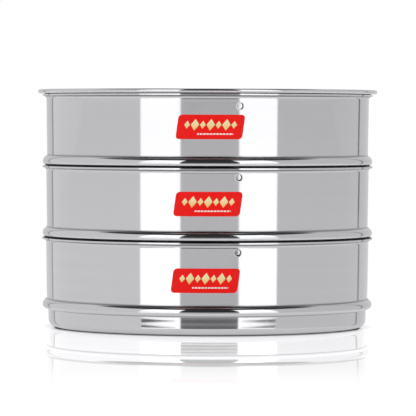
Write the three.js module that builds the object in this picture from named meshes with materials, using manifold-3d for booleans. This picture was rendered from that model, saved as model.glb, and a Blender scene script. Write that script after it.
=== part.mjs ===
// Pressure cooker separator: three equal containers of drawn stainless sheet that nest, and a lid.
// Each container's skirt drops into the mouth below until its bead settles on the lip there.
// Millimetres, +Z up, origin at the centre of the underside, front towards -Y.

import * as THREE from "three";
import { mergeVertices } from "three/addons/utils/BufferGeometryUtils.js";
import Module from "manifold-3d";

const wasm = await Module();
wasm.setup();

// Container
const SHEET = 0.9; // stainless sheet
const CONTAINER_HEIGHT = 48.65; // underside to top of lip
const WALL_DIAMETER = 175.8; // outside of the wall, where the lip begins
const WALL_TAPER = 0.5; // radius lost between lip and bead
const LIP_REACH = 2.05; // lip beyond the wall
const LIP_BEND = 1.7; // underside of the bend into the lip
const BEAD_LEVEL = 12.3; // widest line of the bead above the underside
const BEAD_REACH = 2.4; // bead beyond the foot of the wall
const BEAD_TOP_RADIUS = 3;
const BEAD_SEAT_RADIUS = 2.2;
const TOP_BLEND = 1; // hollow blend from bead to wall
const SEAT_BLEND = 0.5; // hollow blend from bead to skirt
const SKIRT_DRAFT = 0.2; // radius lost between bead and base corner
const BASE_CORNER = 4.6; // outside bend from base to skirt
const FOOT_WIDTH = 9; // flat ring that the container stands on
const PANEL_RISE = 0.6; // middle of the base, pressed up inside the foot

// Lifting holes, one pair across each container
const HOLE_DIAMETER = 3.4;

// Lid
const LID_SHEET = 0.6;
const LID_REACH = 2.5; // rolled edge beyond the lip
const LID_PLUG_DEPTH = 9.8; // underside of the recess below the lip
const LID_CORNER = 4; // outside bend of the recess
const LID_BEND = 1.5; // underside of the bend from recess to flange
const FLANGE_RISE = 34; // degrees that the flange climbs outwards
const CURL_HOLLOW = 0.55; // inside radius of the rolled edge
const CURL_TURN = 270; // degrees of roll

// Labels
const LABEL_WIDTH = 35;
const LABEL_HEIGHT = 12.8;
const LABEL_CORNER = 2;
const LABEL_SLANT = 8; // degrees that its ends lean to the right
const LABEL_THICKNESS = 0.2;

// Clearances
const SKIRT_GAP = 0.3; // skirt, or lid recess, to the mouth around it, at its tightest
const SEAT_GAP = 0.72; // bead to the lip below, the dark line between two containers
const LID_SEAT_GAP = 0.3; // lid flange to lip
const LABEL_GAP = 0.2; // label to wall

// Each tier from the bottom up: where its front hole and its label lie, in degrees to the right of the front
// and in drop below the lip. Holes and labels are set by hand, so no two tiers agree.
const TIERS = [
  { name: "bottom", holeBearing: 10.4, holeDrop: 5.2, labelBearing: -0.8, labelDrop: 19.2 },
  { name: "middle", holeBearing: 10.7, holeDrop: 4.8, labelBearing: 0, labelDrop: 18.3 },
  { name: "top", holeBearing: 11.05, holeDrop: 6.5, labelBearing: 0.8, labelDrop: 16.7 },
];

// Facets
const AROUND = 40;
const CHORD_ERROR = 0.12; // furthest that a facet leaves its arc
const HOLE_SIDES = 16;

const STEEL = { color: 0xc9cacd, metalness: 1, roughness: 0.12 };
const LABEL = { color: 0xdc2320, metalness: 0, roughness: 0.4 };

// Levels and radii that follow from those
const quarter = Math.PI / 2;
const wallTop = WALL_DIAMETER / 2;
const wallFoot = wallTop - WALL_TAPER;
const lipRadius = wallTop + LIP_REACH;
const lipBend = { r: wallTop + LIP_BEND, z: CONTAINER_HEIGHT - SHEET - LIP_BEND };
const beadRadius = wallFoot + BEAD_REACH;
const seat = { r: beadRadius - BEAD_SEAT_RADIUS, z: BEAD_LEVEL };
const crown = { r: beadRadius - BEAD_TOP_RADIUS, z: BEAD_LEVEL };

// The bead's seat arc comes down on the lip's bend, one round on another
const seatReach = BEAD_SEAT_RADIUS + LIP_BEND + SHEET + SEAT_GAP;
const seatRise = Math.sqrt(seatReach ** 2 - (lipBend.r - seat.r) ** 2);
const pitch = lipBend.z + seatRise - BEAD_LEVEL;

// A hollow blend touches an arc of the bead and runs out upright, along the wall or the skirt
function blend(arc, radius, hollow, side) {
  const r = side + hollow;
  const rise = Math.sqrt((radius + hollow) ** 2 - (r - arc.r) ** 2);
  return { r, rise, angle: Math.atan2(rise, r - arc.r) };
}

// The skirt clears the mouth under the bead, where it is widest, and draws in towards the base
const topBlend = blend(crown, BEAD_TOP_RADIUS, TOP_BLEND, wallFoot);
const wallLow = BEAD_LEVEL + topBlend.rise;
const mouthAt = (z) => wallTop - SHEET - (WALL_TAPER * (lipBend.z - z)) / (lipBend.z - wallLow);
const skirtRadius = mouthAt(lipBend.z) - SKIRT_GAP;
const seatBlend = blend(seat, BEAD_SEAT_RADIUS, SEAT_BLEND, skirtRadius);
const footRadius = skirtRadius - SKIRT_DRAFT - BASE_CORNER;
const panelRadius = footRadius - FOOT_WIDTH;

// One face of the container's sheet, from the axis out and up to the lip; depth 0 is the outside
function containerFace(depth) {
  const face = new THREE.Path();
  face.moveTo(0, PANEL_RISE + depth);
  face.lineTo(panelRadius - 2 * PANEL_RISE, PANEL_RISE + depth);
  face.lineTo(panelRadius, depth);
  face.absarc(footRadius, BASE_CORNER, BASE_CORNER - depth, -quarter, 0);
  face.absarc(
    seatBlend.r, BEAD_LEVEL - seatBlend.rise, SEAT_BLEND + depth, Math.PI, Math.PI - seatBlend.angle, true,
  );
  face.absarc(seat.r, seat.z, BEAD_SEAT_RADIUS - depth, -seatBlend.angle, 0);
  face.absarc(crown.r, crown.z, BEAD_TOP_RADIUS - depth, 0, topBlend.angle);
  face.absarc(topBlend.r, wallLow, TOP_BLEND + depth, Math.PI + topBlend.angle, Math.PI, true);
  face.absarc(lipBend.r, lipBend.z, LIP_BEND + depth, Math.PI, quarter, true);
  face.lineTo(lipRadius, CONTAINER_HEIGHT - SHEET + depth);
  return face;
}

// The lid in the top container's frame: a recess that plugs the mouth, a flange that climbs off the lip
// and an edge rolled under
const rise = THREE.MathUtils.degToRad(FLANGE_RISE);
const flangeNormal = { r: -Math.sin(rise), z: Math.cos(rise) };
const flangeGap = LIP_BEND + SHEET + LID_SEAT_GAP;
const flangeLine = lipBend.r * flangeNormal.r + lipBend.z * flangeNormal.z + flangeGap;
const plugLevel = CONTAINER_HEIGHT - LID_PLUG_DEPTH;
const plugRadius = mouthAt(plugLevel) - SKIRT_GAP;
const underFlange = (r, distance) => (flangeLine - distance - r * flangeNormal.r) / flangeNormal.z;
const lidBend = { r: plugRadius + LID_BEND, z: underFlange(plugRadius + LID_BEND, LID_BEND) };
const curlRadius = lipRadius + LID_REACH - LID_SHEET - CURL_HOLLOW;
const curl = { r: curlRadius, z: underFlange(curlRadius, CURL_HOLLOW) };

// One face of the lid's sheet, from the axis out to the rolled edge; depth 0 is the underside
function lidFace(depth) {
  const flangeEnd = quarter + rise;
  const roll = THREE.MathUtils.degToRad(CURL_TURN);
  const face = new THREE.Path();
  face.moveTo(0, plugLevel + depth);
  face.lineTo(plugRadius - LID_CORNER, plugLevel + depth);
  face.absarc(plugRadius - LID_CORNER, plugLevel + LID_CORNER, LID_CORNER - depth, -quarter, 0);
  face.absarc(lidBend.r, lidBend.z, LID_BEND + depth, Math.PI, flangeEnd, true);
  face.absarc(curl.r, curl.z, CURL_HOLLOW + depth, flangeEnd, flangeEnd - roll, true);
  return face;
}

// Points along a face, with each arc cut finely enough for its radius
function facePoints(face) {
  const points = [];
  for (const curve of face.curves) {
    let steps = 1;
    if (curve.isEllipseCurve) {
      const sweep = Math.abs(curve.aEndAngle - curve.aStartAngle);
      steps = Math.max(2, Math.ceil(sweep / (2 * Math.acos(1 - Math.min(1, CHORD_ERROR / curve.xRadius)))));
    }
    for (const point of curve.getPoints(steps)) {
      if (points.length === 0 || point.distanceTo(points.at(-1)) > 1e-4) points.push(point);
    }
  }
  return points;
}

// A sheet turned about the upright axis, between its two faces
function turnedSheet(makeFace, thickness) {
  const outline = facePoints(makeFace(0)).concat(facePoints(makeFace(thickness)).reverse());
  return new THREE.LatheGeometry(outline, AROUND).rotateX(quarter);
}

function toSolid(geometry) {
  geometry.deleteAttribute("normal");
  geometry.deleteAttribute("uv");
  const merged = mergeVertices(geometry, 1e-4);
  const corners = merged.index.array;
  const faces = [];
  for (let i = 0; i < corners.length; i += 3) {
    const [a, b, c] = corners.slice(i, i + 3);
    if (a !== b && b !== c && c !== a) faces.push(a, b, c);
  }
  return new wasm.Manifold(
    new wasm.Mesh({
      numProp: 3,
      vertProperties: new Float32Array(merged.attributes.position.array),
      triVerts: new Uint32Array(faces),
    }),
  );
}

function toGeometry(solid) {
  const mesh = solid.getMesh();
  const geometry = new THREE.BufferGeometry();
  geometry.setAttribute("position", new THREE.BufferAttribute(new Float32Array(mesh.vertProperties), 3));
  geometry.setIndex(new THREE.BufferAttribute(new Uint32Array(mesh.triVerts), 1));
  return geometry.toNonIndexed();
}

function piece(name, geometry, finish) {
  geometry.computeVertexNormals();
  const mesh = new THREE.Mesh(geometry, new THREE.MeshStandardMaterial(finish));
  mesh.name = name;
  return mesh;
}

// A container with its pair of lifting holes, drilled straight across
function containerGeometry({ holeBearing, holeDrop }) {
  const drill = new THREE.CylinderGeometry(HOLE_DIAMETER / 2, HOLE_DIAMETER / 2, 2 * lipRadius, HOLE_SIDES);
  drill.rotateZ(THREE.MathUtils.degToRad(holeBearing));
  drill.translate(0, 0, CONTAINER_HEIGHT - holeDrop);
  return toGeometry(toSolid(turnedSheet(containerFace, SHEET)).subtract(toSolid(drill)));
}

// A label: the part of a thin band around the wall that lies inside the label's outline
function labelGeometry({ labelBearing, labelDrop }) {
  const inner = LABEL_GAP;
  const outer = LABEL_GAP + LABEL_THICKNESS;
  const band = [
    new THREE.Vector2(wallFoot + inner, wallLow),
    new THREE.Vector2(wallFoot + outer, wallLow),
    new THREE.Vector2(wallTop + outer, lipBend.z),
    new THREE.Vector2(wallTop + inner, lipBend.z),
    new THREE.Vector2(wallFoot + inner, wallLow),
  ];
  const ring = new THREE.LatheGeometry(band, AROUND).rotateX(quarter);

  const [w, h, c] = [LABEL_WIDTH / 2, LABEL_HEIGHT / 2, LABEL_CORNER];
  const outline = new THREE.Shape();
  outline.absarc(w - c, h - c, c, 0, quarter);
  outline.absarc(c - w, h - c, c, quarter, 2 * quarter);
  outline.absarc(c - w, c - h, c, 2 * quarter, 3 * quarter);
  outline.absarc(w - c, c - h, c, 3 * quarter, 4 * quarter);
  const through = { depth: lipRadius, bevelEnabled: false, curveSegments: 3 };
  const cutter = new THREE.ExtrudeGeometry(outline, through);
  const slant = Math.tan(THREE.MathUtils.degToRad(LABEL_SLANT));
  cutter.applyMatrix4(new THREE.Matrix4().makeShear(0, 0, slant, 0, 0, 0));
  cutter.rotateX(quarter);
  cutter.rotateZ(THREE.MathUtils.degToRad(labelBearing));
  cutter.translate(0, 0, CONTAINER_HEIGHT - labelDrop);
  return toGeometry(toSolid(ring).intersect(toSolid(cutter)));
}

const separator = new THREE.Group();
separator.name = "pressure_cooker_separator";

TIERS.forEach((tier, level) => {
  const group = new THREE.Group();
  group.name = `${tier.name}_tier`;
  group.position.z = level * pitch;
  group.add(piece(`${tier.name}_container`, containerGeometry(tier), STEEL));
  group.add(piece(`${tier.name}_label`, labelGeometry(tier), LABEL));
  separator.add(group);
});

const lid = piece("lid", toGeometry(toSolid(turnedSheet(lidFace, LID_SHEET))), STEEL);
lid.position.z = (TIERS.length - 1) * pitch;
separator.add(lid);

export default separator;
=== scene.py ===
import math

import bpy
from mathutils import Matrix, Vector


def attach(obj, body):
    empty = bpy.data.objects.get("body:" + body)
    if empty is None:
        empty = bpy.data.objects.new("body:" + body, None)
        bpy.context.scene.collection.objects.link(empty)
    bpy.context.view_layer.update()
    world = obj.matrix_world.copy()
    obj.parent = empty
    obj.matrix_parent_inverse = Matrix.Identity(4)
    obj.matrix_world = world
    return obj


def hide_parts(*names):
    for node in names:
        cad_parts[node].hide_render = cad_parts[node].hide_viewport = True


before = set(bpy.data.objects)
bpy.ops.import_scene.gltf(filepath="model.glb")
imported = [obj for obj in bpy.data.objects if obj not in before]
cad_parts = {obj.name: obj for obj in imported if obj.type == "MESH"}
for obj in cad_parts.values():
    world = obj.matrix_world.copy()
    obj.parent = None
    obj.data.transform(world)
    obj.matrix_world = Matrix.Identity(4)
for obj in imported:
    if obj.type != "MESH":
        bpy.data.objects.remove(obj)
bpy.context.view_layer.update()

scene = bpy.context.scene
scene.view_settings.view_transform = "Standard"


# The three containers. Each is one stainless blank, drawn into a cup, trimmed, flared at the lip and
# rolled outwards into a bead near the foot; the plain skirt under the bead drops into the mouth below.
# A hole punched on each side under the lip takes the lifting tong. Polished outside, spun satin inside.

mm = 0.001
sheet = 0.9 * mm
container_height = 48.65 * mm
wall_radius = 87.9 * mm
wall_taper = 0.5 * mm
lip_reach = 2.05 * mm
lip_bend = 1.7 * mm
bead_level = 12.3 * mm
bead_reach = 2.4 * mm
crown_radius = 3.3 * mm
crown_blend = 0.35 * mm
seat_radius = 2.2 * mm
seat_blend = 0.5 * mm
base_corner = 4.1 * mm
skirt_draft = 0.33 * mm
foot_width = 9 * mm
panel_rise = 0.6 * mm
panel_run = 4.0
panel_bend = 4 * mm
seat_gap = 0.72 * mm
skirt_gap = 0.3 * mm
hole_radius = 1.7 * mm
punch_dip = 0.16 * mm
edge_ease = 0.14 * mm
columns = 468

# Faint rings that the die leaves in the skirt: share of its height, swell in millimetres.
skirt_rings = (
    (0.0, 0.0), (0.1, 0.007), (0.343, 0.001), (0.51, -0.004),
    (0.673, 0.0035), (0.836, 0.011), (1.0, 0.005),
)

# The first hole of each pair: degrees round from the front, millimetres below the lip.
hole_seats = {"bottom": (10.4, 5.2), "middle": (10.7, 4.8), "top": (11.05, 6.5)}

lip_radius = wall_radius + lip_reach
skirt_radius = wall_radius - sheet - skirt_gap
lip_heart = Vector((wall_radius + lip_bend, container_height - sheet - lip_bend))
seat_heart = wall_radius - wall_taper + bead_reach - seat_radius
seat_reach = seat_radius + lip_bend + sheet + seat_gap
pitch = lip_heart.y + math.sqrt(seat_reach ** 2 - (lip_heart.x - seat_heart) ** 2) - bead_level

shaded_steel = (0.60, 0.60, 0.622, 1.0)
bright_steel = (0.65, 0.65, 0.668, 1.0)
# Painted shade: the dark steel tone laid where the creases, the lip's underside, the holes' edges and the
# lid's flange lie in shade.
painted_shade_steel = (0.24, 0.24, 0.248, 1.0)
spun_steel = (0.44, 0.44, 0.455, 1.0)


class Wire:
    """A node's socket. Arithmetic on it adds Math nodes; node() adds a node of any other kind."""

    def __init__(self, tree, socket):
        self.tree = tree
        self.socket = socket

    @staticmethod
    def node(tree, kind, settings=None, sockets=None):
        """A new node, its settings made first, then its inputs set or linked. Gives its outputs by name."""
        made = tree.nodes.new(kind)
        for name, value in (settings or {}).items():
            if name == "choices":
                while len(made.index_switch_items) < value:
                    made.index_switch_items.new()
            else:
                setattr(made, name, value)
        for key, value in (sockets or {}).items():
            taking = [s for s in made.inputs if key in (s.identifier, s.name) and s.enabled][0]
            for item in value if isinstance(value, list) else [value]:
                if isinstance(item, Wire):
                    tree.links.new(item.socket, taking)
                else:
                    taking.default_value = item
        giving = {}
        for s in made.outputs:
            if s.enabled:
                giving.setdefault(s.name, Wire(tree, s))
        return giving

    def into(self, taking):
        self.tree.links.new(self.socket, taking)

    def maths(self, operation, *others):
        sockets = dict(zip(("Value", "Value_001", "Value_002"), (self, *others)))
        return Wire.node(self.tree, "ShaderNodeMath", {"operation": operation}, sockets)["Value"]

    def after(self, operation, first):
        sockets = {"Value": first, "Value_001": self}
        return Wire.node(self.tree, "ShaderNodeMath", {"operation": operation}, sockets)["Value"]

    def __add__(self, other):
        return self.maths("ADD", other)

    def __radd__(self, other):
        return self.maths("ADD", other)

    def __sub__(self, other):
        return self.maths("SUBTRACT", other)

    def __rsub__(self, other):
        return self.after("SUBTRACT", other)

    def __mul__(self, other):
        return self.maths("MULTIPLY", other)

    def __rmul__(self, other):
        return self.maths("MULTIPLY", other)

    def __truediv__(self, other):
        return self.maths("DIVIDE", other)

    def __rtruediv__(self, other):
        return self.after("DIVIDE", other)

    def __neg__(self):
        return self.maths("MULTIPLY", -1.0)

    def __pow__(self, other):
        return self.maths("POWER", other)

    def __abs__(self):
        return self.maths("ABSOLUTE")

    def clamped(self, low=0.0, high=1.0):
        return self.maths("MAXIMUM", low).maths("MINIMUM", high)

    def ramp(self, low, high):
        """0 at low, 1 at high, smooth between."""
        sockets = {"Value": self, "From Min": low, "From Max": high}
        settings = {"interpolation_type": "SMOOTHSTEP", "clamp": True}
        return Wire.node(self.tree, "ShaderNodeMapRange", settings, sockets)["Result"]


def point(tree, x, y, z=0.0):
    return Wire.node(tree, "ShaderNodeCombineXYZ", sockets={"X": x, "Y": y, "Z": z})["Vector"]


def axes_of(tree, spot):
    """A spot's distance from the upright axis, and its X, Y and Z."""
    axes = Wire.node(tree, "ShaderNodeSeparateXYZ", sockets={"Vector": spot})
    return (axes["X"] * axes["X"] + axes["Y"] * axes["Y"]) ** 0.5, axes


def shape_tree(name, sizes):
    """A geometry tree with one named input for each size, and those inputs as wires."""
    tree = bpy.data.node_groups.new(name, "GeometryNodeTree")
    for size in sizes:
        kind = "NodeSocketInt" if isinstance(sizes[size], int) else "NodeSocketFloat"
        tree.interface.new_socket(size, in_out="INPUT", socket_type=kind)
    tree.interface.new_socket("Finish", in_out="INPUT", socket_type="NodeSocketMaterial")
    tree.interface.new_socket("Shape", in_out="OUTPUT", socket_type="NodeSocketGeometry")
    return tree, Wire.node(tree, "NodeGroupInput")


def turned_section(tree, corners, count):
    """A bent strip's section, given as corners (r, z, bend radius), turned about the upright axis.
    The sweep's own circle is as wide as half the strip, so r is counted from there."""
    circle = 45 * mm
    steps_in_bend = 9
    index = Wire.node(tree, "GeometryNodeInputIndex")["Index"]
    places = {"Index": index}
    bends = {"Index": index}
    for i, (r, z, bend) in enumerate(corners):
        places[str(i)] = point(tree, r - circle, -z)
        bends[str(i)] = bend
    some = {"choices": len(corners)}
    place = Wire.node(tree, "GeometryNodeIndexSwitch", {"data_type": "VECTOR", **some}, places)["Output"]
    bend = Wire.node(tree, "GeometryNodeIndexSwitch", {"data_type": "FLOAT", **some}, bends)["Output"]
    dots = Wire.node(tree, "GeometryNodePoints", sockets={"Count": len(corners), "Position": place})
    strip = Wire.node(tree, "GeometryNodePointsToCurves", sockets={"Points": dots["Points"]})["Curves"]
    bent = {"Curve": strip, "Radius": bend, "Count": steps_in_bend, "Limit Radius": True}
    rounded = Wire.node(tree, "GeometryNodeFilletCurve", {"mode": "POLY"}, bent)["Curve"]
    hoop = {"Resolution": count, "Radius": circle}
    ring = Wire.node(tree, "GeometryNodeCurvePrimitiveCircle", sockets=hoop)["Curve"]
    sweep = {"Curve": ring, "Profile Curve": rounded}
    return Wire.node(tree, "GeometryNodeCurveToMesh", sockets=sweep)["Mesh"]


def marked(tree, shape, name, amount):
    """The shape with a named amount kept at each of its points."""
    sockets = {"Geometry": shape, "Name": name, "Value": amount}
    settings = {"data_type": "FLOAT", "domain": "POINT"}
    return Wire.node(tree, "GeometryNodeStoreNamedAttribute", settings, sockets)["Geometry"]


def close_tree(tree, shape, given):
    """Merges what coincides, and ends the tree in its finish."""
    joined = {"Geometry": shape, "Distance": 0.002 * mm}
    merged = Wire.node(tree, "GeometryNodeMergeByDistance", sockets=joined)["Geometry"]
    outward = Wire.node(tree, "GeometryNodeFlipFaces", sockets={"Mesh": merged})["Mesh"]
    smooth = Wire.node(tree, "GeometryNodeSetShadeSmooth", sockets={"Geometry": outward})["Geometry"]
    real = Wire.node(tree, "GeometryNodeRealizeInstances", sockets={"Geometry": smooth})["Geometry"]
    finished = {"Geometry": real, "Material": given["Finish"]}
    done = Wire.node(tree, "GeometryNodeSetMaterial", sockets=finished)["Geometry"]
    Wire.node(tree, "NodeGroupOutput", sockets={"Shape": done})


def mesh_from(tree, sizes, finish):
    """The tree's mesh for these sizes, as a plain mesh."""
    holder = bpy.data.objects.new("shaping", bpy.data.meshes.new("shaping"))
    scene.collection.objects.link(holder)
    shaping = holder.modifiers.new("shaping", "NODES")
    shaping.node_group = tree
    for item in tree.interface.items_tree:
        if item.in_out == "INPUT":
            shaping[item.identifier] = finish if item.name == "Finish" else sizes[item.name]
    holder.update_tag()
    shaped = holder.evaluated_get(bpy.context.evaluated_depsgraph_get())
    mesh = bpy.data.meshes.new_from_object(shaped)
    holder.modifiers.clear()
    bpy.data.objects.remove(holder)
    return mesh


def sheet_piece(name, mesh, level, thickness, inside):
    """A drawn sheet in its place: one wall thickness, a finish on its inner face, its cut edges eased."""
    mesh.transform(Matrix.Translation((0.0, 0.0, level)))
    mesh.materials.append(inside)
    piece = bpy.data.objects.new(name, mesh)
    scene.collection.objects.link(piece)
    wall = piece.modifiers.new("sheet", "SOLIDIFY")
    wall.thickness = thickness
    wall.offset = -1.0
    wall.use_even_offset = True
    wall.use_quality_normals = True
    wall.material_offset = 1
    edge = piece.modifiers.new("eased edges", "BEVEL")
    edge.width = edge_ease
    edge.segments = 2
    edge.limit_method = "ANGLE"
    edge.angle_limit = math.radians(55)
    return piece


def noise(tree, spot, scale, detail, roughness=0.5):
    sockets = {"Vector": spot, "Scale": scale, "Detail": detail, "Roughness": roughness}
    return Wire.node(tree, "ShaderNodeTexNoise", sockets=sockets)["Fac"]


def tinted(tree, share, first, second):
    """The first colour where share is 0, the second where it is 1."""
    sockets = {"Factor_Float": share, "A_Color": first, "B_Color": second}
    return Wire.node(tree, "ShaderNodeMix", {"data_type": "RGBA"}, sockets)["Result"]


def mark_on(tree, name):
    """The amount that the mesh keeps by this name, 0 where it keeps none."""
    return Wire.node(tree, "ShaderNodeAttribute", {"attribute_name": name})["Fac"]


def steel(name, polish, lines, haze, dull_and_shade_mark):
    """Drawn stainless sheet: polishing lines run round the axis, with faint haze and handling marks.
    The mesh's amount that the last argument names says where the steel is left rougher and is painted
    darker, a painted shade for creases and edges, and the one named spun where the sheet keeps the satin of
    its spinning."""
    lines_per_metre = 2600.0
    waves_per_metre = 240.0
    marks_per_metre = 34.0
    drift_per_metre = 9.0
    dull_rough = 0.25
    spun_rough = 0.26
    relief_depth = 0.02 * mm
    material = bpy.data.materials.new(name)
    material.use_nodes = True
    tree = material.node_tree
    surface = tree.nodes["Principled BSDF"].inputs
    spot = Wire.node(tree, "ShaderNodeTexCoord")["Object"]
    radius, axes = axes_of(tree, spot)
    drift = (axes["X"] - axes["Y"]) * drift_per_metre
    line_spot = point(tree, radius * lines_per_metre, axes["Z"] * lines_per_metre, drift)
    wave_spot = point(tree, radius * waves_per_metre, axes["Z"] * waves_per_metre, drift * 0.6)
    fine = noise(tree, line_spot, scale=1.0, detail=3.0, roughness=0.6)
    broad = noise(tree, wave_spot, scale=1.0, detail=2.0)
    marks = noise(tree, spot, scale=marks_per_metre, detail=4.0, roughness=0.55)
    dull_and_shade = mark_on(tree, dull_and_shade_mark)
    spun = mark_on(tree, "spun")
    rough = polish + (fine - 0.5) * lines + (broad - 0.5) * (lines * 0.6) + marks.ramp(0.45, 0.85) * haze
    rough = rough + dull_and_shade * dull_rough + spun * (spun_rough + fine * 0.2)
    rough.clamped(0.015, 0.6).into(surface["Roughness"])
    tint = tinted(tree, (broad * 0.6 + marks * 0.4).clamped(), shaded_steel, bright_steel)
    # Painted shade: the steel's colour turns dark where the mark says it lies in shade; its roughness rises
    # there too.
    tint = tinted(tree, dull_and_shade, tint, painted_shade_steel)
    tint = tinted(tree, spun * (0.5 + broad * 0.4), tint, spun_steel)
    tint.into(surface["Base Color"])
    relief = fine * (lines * 6.0 + spun * 1.2) + broad * (lines * 8.0) + marks * 0.8
    raised = {"Strength": 0.35, "Distance": relief_depth, "Height": relief}
    Wire.node(tree, "ShaderNodeBump", sockets=raised)["Normal"].into(surface["Normal"])
    surface["Metallic"].default_value = 1.0
    return material


polished = steel("polished_steel", polish=0.055, lines=0.05, haze=0.03, dull_and_shade_mark="unbuffed")
satin = steel("spun_satin_steel", polish=0.21, lines=0.16, haze=0.05, dull_and_shade_mark="unbuffed")


def container_sizes(body):
    """The named sizes of a body's container. Only the holes differ."""
    bearing, drop = hole_seats[body]
    return {
        "Sheet": sheet, "Height": container_height, "Wall radius": wall_radius, "Taper": wall_taper,
        "Lip reach": lip_reach, "Lip bend": lip_bend, "Bead level": bead_level, "Bead reach": bead_reach,
        "Crown radius": crown_radius, "Crown blend": crown_blend, "Seat radius": seat_radius,
        "Seat blend": seat_blend, "Base corner": base_corner, "Foot width": foot_width,
        "Panel rise": panel_rise, "Skirt radius": skirt_radius, "Skirt draft": skirt_draft,
        "Hole radius": hole_radius, "Hole drop": drop * mm, "Hole bearing": math.radians(bearing),
        "Columns": columns,
    }


cup_tree, cup = shape_tree("drawn_container", container_sizes("bottom"))
foot_of_wall = cup["Wall radius"] - cup["Taper"]
bead = foot_of_wall + cup["Bead reach"]


def bead_corners(arc_radius, blend, side):
    """How far from the bead's level the strip's corner in its arc, the corner in its hollow blend and
    the blend's end lie, where the blend runs into a side at this radius."""
    reach = arc_radius + blend
    aside = side + blend - (bead - arc_radius)
    rise = (reach * reach - aside * aside) ** 0.5
    half = rise / (reach + aside)
    return arc_radius * half, rise - blend * half, rise


seat_out, seat_in, seat_rise = bead_corners(cup["Seat radius"], cup["Seat blend"], cup["Skirt radius"])
crown_out, crown_in, crown_rise = bead_corners(cup["Crown radius"], cup["Crown blend"], foot_of_wall)
crease_level = cup["Bead level"] - seat_in
wall_low = cup["Bead level"] + crown_in
lip_level = cup["Height"] - cup["Sheet"]
lean = cup["Taper"] / (lip_level - wall_low)


def wall_at(level):
    """The drafted wall's radius at a level over the bead."""
    return foot_of_wall + (level - wall_low) * lean


# The strip from the middle of the base to the lip. Rings close to the bends keep the flats between flat.
above_corner = 0.15 * mm
below_seat = 0.2 * mm
above_crown = 0.3 * mm
clear_of_crown = 0.7 * mm
skirt_foot = cup["Skirt radius"] - cup["Skirt draft"]
panel_edge = skirt_foot - cup["Base corner"] - cup["Foot width"]
skirt_low = cup["Base corner"] + above_corner
skirt_high = cup["Bead level"] - seat_rise - below_seat
skirt = []
for share, swell in skirt_rings:
    level = skirt_low + (skirt_high - skirt_low) * share
    drafted = skirt_foot + cup["Skirt draft"] * level / crease_level
    skirt.append((drafted + swell * mm, level, 0.0))
cup_strip = [
    (0.0, cup["Panel rise"], 0.0),
    (panel_edge - cup["Panel rise"] * panel_run, cup["Panel rise"], panel_bend),
    (panel_edge, 0.0, panel_bend),
    (skirt_foot, 0.0, cup["Base corner"]),
    *skirt,
    (cup["Skirt radius"], crease_level, cup["Seat blend"]),
    (bead, cup["Bead level"] - seat_out, cup["Seat radius"]),
    (bead, cup["Bead level"] + crown_out, cup["Crown radius"]),
    (foot_of_wall, wall_low, cup["Crown blend"]),
]
for margin in (above_crown, clear_of_crown):
    level = cup["Bead level"] + crown_rise + margin
    cup_strip.append((wall_at(level), level, 0.0))
hole_level = cup["Height"] - cup["Hole drop"]
patch_high = 2.0 * mm
patch_rows = 4
for row in range(-patch_rows, patch_rows + 1):
    level = hole_level + row / patch_rows * patch_high
    cup_strip.append((wall_at(level), level, 0.0))
cup_strip.append((cup["Wall radius"], lip_level, cup["Lip bend"]))
cup_strip.append((cup["Wall radius"] + cup["Lip reach"], lip_level, 0.0))
drawn = turned_section(cup_tree, cup_strip, cup["Columns"])
facing = {"Geometry": drawn, "Rotation": point(cup_tree, 0.0, 0.0, cup["Hole bearing"] - math.pi / 2)}
drawn = Wire.node(cup_tree, "GeometryNodeTransform", sockets=facing)["Geometry"]

# A window of the wall eight columns wide gives way to a patch that runs from a square rim to the round hole,
# where the punch has drawn the sheet inwards a little.
patch_columns = 8
patch_rings = 15
ring_crowding = 1.4
window_share = 0.97
hole_wall = wall_at(hole_level)
patch_wide = hole_wall * (patch_columns * math.pi) / cup["Columns"]
from_axis, place = axes_of(cup_tree, Wire.node(cup_tree, "GeometryNodeInputPosition")["Position"])
sideways = place["X"] * cup["Hole bearing"].maths("COSINE") + place["Y"] * cup["Hole bearing"].maths("SINE")
beside = abs(sideways).maths("LESS_THAN", patch_wide * window_share)
level_with = abs(place["Z"] - hole_level).maths("LESS_THAN", patch_high * window_share)
window = {"Geometry": drawn, "Selection": beside * level_with}
drawn = Wire.node(cup_tree, "GeometryNodeDeleteGeometry", {"domain": "FACE"}, window)["Geometry"]
unit = {"Size X": 1.0, "Size Y": 1.0, "Vertices X": 4 * patch_columns + 1, "Vertices Y": patch_rings}
grid = Wire.node(cup_tree, "GeometryNodeMeshGrid", sockets=unit)["Mesh"]
around = place["X"] + 0.5
outwards = (place["Y"] + 0.5) ** ring_crowding


def square_wave(turned):
    """Along one axis, where a point stands that goes round a square of half width 1."""
    folded = abs(turned.maths("FRACT") - 0.5) * 4.0 - 1.0
    return (folded * 2.0).clamped(-1.0, 1.0)


def hole_to_rim(round_share, square_share, half):
    """Along one axis, a place in the patch between the round hole and the square rim."""
    return round_share * cup["Hole radius"] * (1.0 - outwards) + square_share * half * outwards


angle = around * (2 * math.pi)
across = hole_to_rim(angle.maths("COSINE"), square_wave(around), patch_wide)
along = hole_to_rim(angle.maths("SINE"), square_wave(around + 0.75), patch_high)
off_centre = (across * across + along * along) ** 0.5
dip = (1.0 - off_centre.ramp(cup["Hole radius"] * 0.9, cup["Hole radius"] * 1.15)) * punch_dip
patch_level = hole_level + along
patch_radius = wall_at(patch_level) - dip
patch_turn = cup["Hole bearing"] + across / hole_wall
patch_x = patch_radius * patch_turn.maths("SINE")
patch_y = -(patch_radius * patch_turn.maths("COSINE"))
laid = {"Geometry": grid, "Position": point(cup_tree, patch_x, patch_y, patch_level)}
near_patch = Wire.node(cup_tree, "GeometryNodeSetPosition", sockets=laid)["Geometry"]
opposite = {"Geometry": near_patch, "Rotation": (0.0, 0.0, math.pi)}
far_patch = Wire.node(cup_tree, "GeometryNodeTransform", sockets=opposite)["Geometry"]
parts = {"Geometry": [drawn, near_patch, far_patch]}
pierced = Wire.node(cup_tree, "GeometryNodeJoinGeometry", sockets=parts)["Geometry"]


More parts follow.
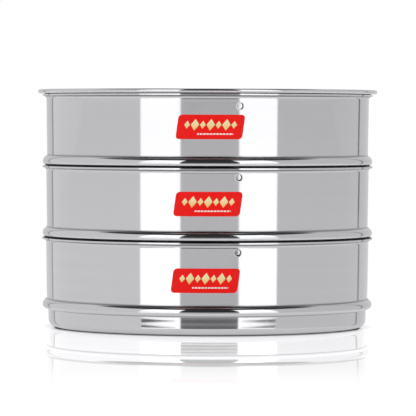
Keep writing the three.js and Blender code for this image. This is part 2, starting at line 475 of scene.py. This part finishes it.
def near_bend(level, side, up, out):
    """1 close to a bend at this level in a side of this radius, 0 further up, down or out. Up and out are
    in millimetres, each the distance where it starts to fade and the one where it ends."""
    close = 1.0 - abs(place["Z"] - level).ramp(up[0] * mm, up[1] * mm)
    return close * (1.0 - from_axis.ramp(side + out[0] * mm, side + out[1] * mm))


# The steel is left rougher where the buffing wheel can't reach, and is painted darker there as painted
# shade: under the lip, in the creases under and over the bead, and on the holes' punched edges.
flare = from_axis - cup["Wall radius"]
under_lip = flare.ramp(cup["Lip bend"] * 0.06, cup["Lip bend"] * 0.3)
under_lip = under_lip * (1.0 - flare.ramp(cup["Lip bend"], cup["Lip reach"]))
under_lip = under_lip * place["Z"].ramp(lip_level - cup["Lip bend"] * 1.2, lip_level - cup["Lip bend"])
crease = near_bend(crease_level + 0.15 * mm, cup["Skirt radius"], up=(0.3, 0.75), out=(0.45, 0.9))
over_bead = near_bend(wall_low + 0.1 * mm, foot_of_wall, up=(0.25, 0.6), out=(0.5, 1.0)) * 0.7
from_hole = (sideways * sideways + (place["Z"] - hole_level) ** 2.0) ** 0.5
punched = 1.0 - from_hole.ramp(cup["Hole radius"] * 1.02, cup["Hole radius"] * 1.1)
unbuffed = under_lip.maths("MAXIMUM", crease).maths("MAXIMUM", over_bead).maths("MAXIMUM", punched)
close_tree(cup_tree, marked(cup_tree, pierced, "unbuffed", unbuffed), cup)

for tier, body in enumerate(("bottom", "middle", "top")):
    cup_mesh = mesh_from(cup_tree, container_sizes(body), polished)
    container = sheet_piece(f"{body}_cup", cup_mesh, tier * pitch, sheet, satin)
    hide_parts(f"{body}_container")
    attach(container, body)


# The lid. One blank, drawn into a shallow recess that plugs the top mouth, with a flange that climbs off the
# lip and an edge rolled under so that it is safe to hold. Its rim and sides are polished, the floor of the
# recess is left spun, and the underside is less polished, and painted darker under the flange as painted
# shade over the lip's gap.

plug_depth = 9.8 * mm
plug_corner = 1.8 * mm
plug_draft = 0.24 * wall_taper
flange_bend = 1.5 * mm
flange_rise = math.radians(34)
curl_hollow = 0.5 * mm
lid_reach = 2.5 * mm
lid_seat_gap = 0.3 * mm
lid_sheet = 0.6 * mm
spun_edge = 1.0 * mm
flange_fade = 2.0 * mm

upward = Vector((-math.sin(flange_rise), math.cos(flange_rise)))
flange_line = lip_heart.dot(upward) + lip_bend + sheet + lid_seat_gap
curl_radius = lip_radius + lid_reach - lid_sheet - curl_hollow
curl_level = (flange_line - curl_hollow - curl_radius * upward.x) / upward.y
lid_sizes = {
    "Recess radius": skirt_radius - plug_draft, "Recess level": container_height - plug_depth,
    "Recess corner": plug_corner, "Flange bend": flange_bend, "Flange rise": flange_rise,
    "Curl radius": curl_radius, "Curl level": curl_level, "Curl hollow": curl_hollow, "Columns": columns,
}
lid_tree, cover = shape_tree("recessed_lid", lid_sizes)
out_r = cover["Flange rise"].maths("COSINE") * cover["Curl hollow"]
out_z = cover["Flange rise"].maths("SINE") * cover["Curl hollow"]
slope = cover["Flange rise"].maths("TANGENT")
flange_start = cover["Curl level"] + out_r - (cover["Curl radius"] - out_z - cover["Recess radius"]) * slope
lid_strip = [
    (0.0, cover["Recess level"], 0.0),
    (cover["Recess radius"], cover["Recess level"], cover["Recess corner"]),
    (cover["Recess radius"], flange_start, cover["Flange bend"]),
    (cover["Curl radius"] - out_z + out_r, cover["Curl level"] + out_r + out_z, cover["Curl hollow"]),
    (cover["Curl radius"] + out_z + out_r, cover["Curl level"] - out_r + out_z, cover["Curl hollow"]),
    (cover["Curl radius"] + out_z - out_r, cover["Curl level"] - out_r - out_z, cover["Curl hollow"]),
    (cover["Curl radius"] - out_r, cover["Curl level"] - out_z, 0.0),
]
pressing = turned_section(lid_tree, lid_strip, cover["Columns"])
lid_radius, _ = axes_of(lid_tree, Wire.node(lid_tree, "GeometryNodeInputPosition")["Position"])
flat = cover["Recess radius"] - cover["Recess corner"]
in_recess = 1.0 - lid_radius.ramp(flat - spun_edge, flat)
# Painted shade: under the flange the underside is painted darker, and made rougher.
under_flange = lid_radius.ramp(cover["Recess radius"], cover["Recess radius"] + flange_fade)
pressing = marked(lid_tree, pressing, "spun", in_recess)
close_tree(lid_tree, marked(lid_tree, pressing, "under_flange", under_flange), cover)
underside = steel("lid_underside", polish=0.09, lines=0.06, haze=0.03, dull_and_shade_mark="under_flange")
lid_mesh = mesh_from(lid_tree, lid_sizes, underside)
lid = sheet_piece("lid_pressing", lid_mesh, 2 * pitch, lid_sheet, polished)
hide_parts("lid")
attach(lid, "cover")


# The labels. Red gloss film, printed with a row of cream lozenges over a broken white rule, die-cut with
# round corners and pressed on to each wall by hand, so each sits a little differently.

label_width = 35 * mm
label_height = 12.8 * mm
label_corner = 2 * mm
label_slant = math.tan(math.radians(8))
label_columns = 48
label_rows = 24
film = 0.1 * mm
glue = 0.03 * mm

# Degrees round from the front, and millimetres from the lip down to the middle of the label.
label_seats = {"bottom": (-0.6, 19.7), "middle": (0.2, 18.65), "top": (0.95, 17.4)}

deep_red = (0.92, 0.008, 0.006, 1.0)
clear_red = (0.97, 0.012, 0.009, 1.0)
amber = (0.93, 0.62, 0.20, 1.0)
cream = (0.96, 0.86, 0.50, 1.0)
rule_white = (0.95, 0.93, 0.88, 1.0)

# The print's lengths are in millimetres, its places counted from the middle of the label. A lozenge's
# edge and tallness are shares of its half width, and a dash's end is one of its pitch. A pair says where
# an edge starts to fade and where it ends. The lozenges are large and small by turns.
lozenge_pitch = 4.1
lozenges_aside = 3.0
lozenge_half = 2.3
lozenge_less = 0.75
lozenge_tallness = 1.35
lozenge_row = 1.1
lozenge_edge = (0.94, 1.02)
cream_fade = (-1.8, 3.4)
rule_row = -3.7
rule_middle = 3.0
rule_side = (0.32, 0.42)
rule_end = (9.3, 9.5)
dash_pitch = 1.7
dash_end = (0.34, 0.4)

print_film = bpy.data.materials.new("printed_film")
print_film.use_nodes = True
print_tree = print_film.node_tree
gloss_print = print_tree.nodes["Principled BSDF"].inputs
print_spot = Wire.node(print_tree, "ShaderNodeUVMap", {"uv_map": "print"})["UV"]
print_axes = Wire.node(print_tree, "ShaderNodeSeparateXYZ", sockets={"Vector": print_spot})
x = (print_axes["X"] - 0.5) * (label_width / mm)
y = (print_axes["Y"] - 0.5) * (label_height / mm)
speckle = noise(print_tree, print_spot, scale=160.0, detail=2.0)
cloud = noise(print_tree, print_spot, scale=5.0, detail=2.0)

cell = (x / lozenge_pitch).maths("ROUND").clamped(-lozenges_aside, lozenges_aside)
small = abs(cell * 0.5).maths("FRACT") * 2.0
half = lozenge_half - small * lozenge_less
lozenge = abs(x - cell * lozenge_pitch) / half + abs(y - lozenge_row) / (half * lozenge_tallness)
lozenge = 1.0 - lozenge.ramp(*lozenge_edge)
dash = abs((x / dash_pitch).maths("FRACT") - 0.5)
rule = (1.0 - abs(y - rule_row).ramp(*rule_side)) * (1.0 - abs(x - rule_middle).ramp(*rule_end))
rule = rule * (1.0 - dash.ramp(*dash_end))

ground = tinted(print_tree, cloud * 0.7 + speckle * 0.3, deep_red, clear_red)
shaded_cream = tinted(print_tree, y.ramp(*cream_fade), amber, cream)
inked = tinted(print_tree, lozenge, ground, shaded_cream)
inked = tinted(print_tree, rule, inked, rule_white)
inked.into(gloss_print["Base Color"])
(0.3 + speckle * 0.08 + cloud * 0.05).into(gloss_print["Roughness"])
ripple = {"Strength": 0.15, "Distance": 0.2 * mm, "Height": cloud}
Wire.node(print_tree, "ShaderNodeBump", sockets=ripple)["Normal"].into(gloss_print["Normal"])
gloss_print["Specular IOR Level"].default_value = 0.16

# The film lies on the wall's taper, which runs from the bead's blend up to the lip's bend.
taper_foot = bead_level + 3.7 * mm
taper_rise = lip_heart.y - taper_foot
for tier, body in enumerate(("bottom", "middle", "top")):
    turn, drop = label_seats[body]
    middle = container_height - drop * mm
    verts = []
    prints = []
    for row in range(label_rows + 1):
        up = -math.cos(math.pi * row / label_rows) * label_height / 2
        corner = max(0.0, abs(up) - (label_height / 2 - label_corner))
        half_width = label_width / 2 - label_corner + math.sqrt(max(0.0, label_corner ** 2 - corner ** 2))
        level = middle + up
        radius = wall_radius - wall_taper * (lip_heart.y - level) / taper_rise + glue
        for column in range(label_columns + 1):
            right = (2 * column / label_columns - 1) * half_width
            bearing = math.radians(turn) + (right + up * label_slant) / wall_radius
            verts.append((radius * math.sin(bearing), -radius * math.cos(bearing), level + tier * pitch))
            prints.append((right / label_width + 0.5, up / label_height + 0.5))
    faces = []
    next_row = label_columns + 1
    for row in range(label_rows):
        for column in range(label_columns):
            first = row * next_row + column
            faces.append((first, first + 1, first + next_row + 1, first + next_row))
    label_mesh = bpy.data.meshes.new(f"{body}_sticker")
    label_mesh.from_pydata(verts, [], faces)
    layer = label_mesh.uv_layers.new(name="print")
    for loop in label_mesh.loops:
        layer.data[loop.index].uv = prints[loop.vertex_index]
    label_mesh.shade_smooth()
    label_mesh.materials.append(print_film)
    sticker = bpy.data.objects.new(f"{body}_sticker", label_mesh)
    scene.collection.objects.link(sticker)
    thick = sticker.modifiers.new("film", "SOLIDIFY")
    thick.thickness = film
    thick.offset = 1.0
    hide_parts(f"{body}_label")
    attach(sticker, body)


# The floor. White gloss lacquer, which mirrors at a low angle and is plain white from above. For the steel
# alone, a ring close round the base glows white, a painted light that brightens the base in its reflection;
# the floor runs out into the white backdrop.

floor_reach = 9.0
floor_back = 1.2
white_paint = 0.9
lacquer_grey = 0.2
lacquer_blur = 0.03
lacquer_share = 0.85
open_glow = 0.22
painted_glow_share = 0.6
steep_gloss = 0.08
low_slant = (0.62, 0.8)

# Distances from the middle of the stack, each as where a change starts and where it ends.
foot_edge = (83.2 * mm, 85.2 * mm)
painted_glow_edge = (120 * mm, 200 * mm)
contact_edge = (82 * mm, 94 * mm)
backdrop_edge = (240 * mm, 420 * mm)

floor_mesh = bpy.data.meshes.new("floor")
floor_corners = [
    (-floor_reach, -floor_reach, 0), (floor_reach, -floor_reach, 0),
    (floor_reach, floor_back, 0), (-floor_reach, floor_back, 0),
]
floor_mesh.from_pydata(floor_corners, [], [(0, 1, 2, 3)])
floor = bpy.data.objects.new("floor", floor_mesh)
scene.collection.objects.link(floor)
floor_paint = bpy.data.materials.new("floor_paint")
floor_paint.use_nodes = True
floor_tree = floor_paint.node_tree
floor_tree.nodes.clear()


def matt(grey):
    sockets = {"Color": (grey, grey, grey, 1)}
    return Wire.node(floor_tree, "ShaderNodeBsdfDiffuse", sockets=sockets)["BSDF"]


def mirror(roughness):
    sockets = {"Color": (1, 1, 1, 1), "Roughness": roughness}
    return Wire.node(floor_tree, "ShaderNodeBsdfGlossy", sockets=sockets)["BSDF"]


def glowing(strength):
    sockets = {"Color": (1, 1, 1, 1), "Strength": strength}
    return Wire.node(floor_tree, "ShaderNodeEmission", sockets=sockets)["Emission"]


def both(first, second):
    sockets = {"Shader": first, "Shader_001": second}
    return Wire.node(floor_tree, "ShaderNodeAddShader", sockets=sockets)["Shader"]


def mixed(share, first, second):
    """The first finish where share is 0, the second where it is 1."""
    sockets = {"Fac": share, "Shader": first, "Shader_001": second}
    return Wire.node(floor_tree, "ShaderNodeMixShader", sockets=sockets)["Shader"]


away, _ = axes_of(floor_tree, Wire.node(floor_tree, "ShaderNodeTexCoord")["Object"])
floor_ray = Wire.node(floor_tree, "ShaderNodeLightPath")
slant = Wire.node(floor_tree, "ShaderNodeLayerWeight", sockets={"Blend": 0.5})["Facing"]
low_angle = slant.ramp(*low_slant)
white = matt(white_paint)
backdrop = glowing(1.0)
# Painted light: in this ring the floor glows white for glossy rays only, a painted reflection of light in
# the steel's lower edges.
painted_glow_ring = away.ramp(*foot_edge) * (1.0 - away.ramp(*painted_glow_edge)) * floor_ray["Is Glossy Ray"] * painted_glow_share
for_the_steel = mixed(low_angle * lacquer_share, mixed(painted_glow_ring, white, backdrop), mirror(lacquer_blur))
still = mirror(0.0)
lacquer = both(matt(lacquer_grey), still)
lacquer = mixed(away.ramp(*contact_edge), lacquer, both(lacquer, glowing(open_glow)))
for_the_camera = mixed(low_angle, mixed(steep_gloss, white, still), lacquer)
for_the_camera = mixed(away.ramp(*backdrop_edge), for_the_camera, backdrop)
floor_finish = mixed(floor_ray["Is Camera Ray"], for_the_steel, for_the_camera)
Wire.node(floor_tree, "ShaderNodeOutputMaterial", sockets={"Surface": floor_finish})
floor_mesh.materials.append(floor_paint)


# The studio. One soft overhead light and a white backdrop; the steel mirrors the rest: pale grey walls, a
# bright tall soft box on each side of the camera with a dark bar across it, darkness between the boxes and
# overhead, and some light on the ceiling's sides and back.

over = bpy.data.lights.new("overhead", "AREA")
over.shape = "RECTANGLE"
over.size = 3.0
over.size_y = 3.0
over.energy = 45.0
overhead = bpy.data.objects.new("overhead", over)
overhead.location = (0.0, 0.2, 2.4)
overhead.visible_camera = False
overhead.visible_glossy = False
scene.collection.objects.link(overhead)

left_wall_tone = 0.84
front_step = 0.16
right_step = 0.05
corner_step = 0.5
back_wall_tone = 0.7
dark_tone = 0.04
ceiling_light = 0.5
box_light = 1.75
floor_mirror_tone = 0.7

# Places in the room, in degrees round to the right from the camera, or in degrees up. The bars and the back
# are counted both ways from their own middles.
left_wall_end = (-30.0, -20.0)
right_wall_start = (30.0, 40.0)
back_middle = -4.0
back_corner = (140.5, 143.5)
back_wall_start = (143.0, 145.0)
opening_foot = (4.0, 8.0)
floor_edge = (-1.2, 0.6)
ceiling_start = (45.0, 54.0)
ceiling_sides = (50.0, 70.0)
ceiling_middle = (72.0, 79.0)
ceiling_back = (130.0, 150.0)
left_box = (-48.2, -19.0)
right_box = (22.3, 50.3)
box_top = (47.0, 52.0)
bar_middle = 1.0
bar_inner = 23.0
bar_run = 27.0
bar_foot = 8.2
bar_drop = 1.8
bar_top = 9.4

world = bpy.data.worlds.new("studio")
scene.world = world
world.use_nodes = True
room = world.node_tree
room_ray = Wire.node(room, "ShaderNodeLightPath")
room_spot = Wire.node(room, "ShaderNodeTexCoord")["Generated"]
look = Wire.node(room, "ShaderNodeSeparateXYZ", sockets={"Vector": room_spot})
side = look["X"].maths("ARCTAN2", -look["Y"]) * (180 / math.pi)
height = look["Z"].clamped(-1.0, 1.0).maths("ARCSINE") * (180 / math.pi)


def between(value, low, high, soft):
    """1 from low to high, 0 outside, with soft ends."""
    return value.ramp(low - soft, low + soft) * (1.0 - value.ramp(high - soft, high + soft))


def toned(shade, tone, share):
    """The shade, changed to the tone by share."""
    return shade + (tone - shade) * share


walls = left_wall_tone - front_step * side.ramp(*left_wall_end) + right_step * side.ramp(*right_wall_start)
behind = abs(side - back_middle)
walls = walls - corner_step * between(behind, *back_corner, 1.0)
walls = toned(walls, back_wall_tone, behind.ramp(*back_wall_start))
opening = height.ramp(*opening_foot).maths("MAXIMUM", between(height, *floor_edge, 0.3))
opening = between(side, left_box[1], right_box[0], 1.0) * opening
dark = height.ramp(*ceiling_start).maths("MAXIMUM", opening)
ceiling_glow = abs(side).ramp(*ceiling_sides) * height.ramp(*ceiling_middle)
ceiling_glow = ceiling_glow.maths("MAXIMUM", abs(side).ramp(*ceiling_back))
shade = walls * (1.0 - dark) + (dark_tone + ceiling_light * ceiling_glow) * dark
boxes = between(side, *left_box, 0.6) + between(side, *right_box, 0.6)
boxes = (boxes * (1.0 - height.ramp(*box_top))).clamped()
shade = toned(shade, box_light, boxes)
outer = ((abs(side - bar_middle) - bar_inner) / bar_run).clamped()
bar = between(height, bar_foot - bar_drop * outer, bar_top, 0.1) * outer.ramp(0.0, 0.05)
shade = toned(shade, dark_tone, bar * boxes)

# The floor's mirror, the only perfectly sharp one, shows one even tone from every side.
shade = toned(shade, floor_mirror_tone, room_ray["Is Singular Ray"])
toned(shade, 1.0, room_ray["Is Camera Ray"]).into(room.nodes["Background"].inputs["Color"])


# The camera. A long lens from the front, a little below the level of the lid, tipped down by a degree and a
# half and with a trace of roll.

camera_tip = math.radians(1.51)
camera_roll = math.radians(-0.18)
camera = bpy.data.cameras.new("camera")
camera.lens = 295.0
camera.sensor_width = 36.0
camera.clip_end = 50.0
eye = bpy.data.objects.new("camera", camera)
eye.location = (0.0002, -1.86, 0.1136)
eye.rotation_euler = (math.radians(90) - camera_tip, camera_roll, 0.0)
scene.collection.objects.link(eye)
scene.camera = eye
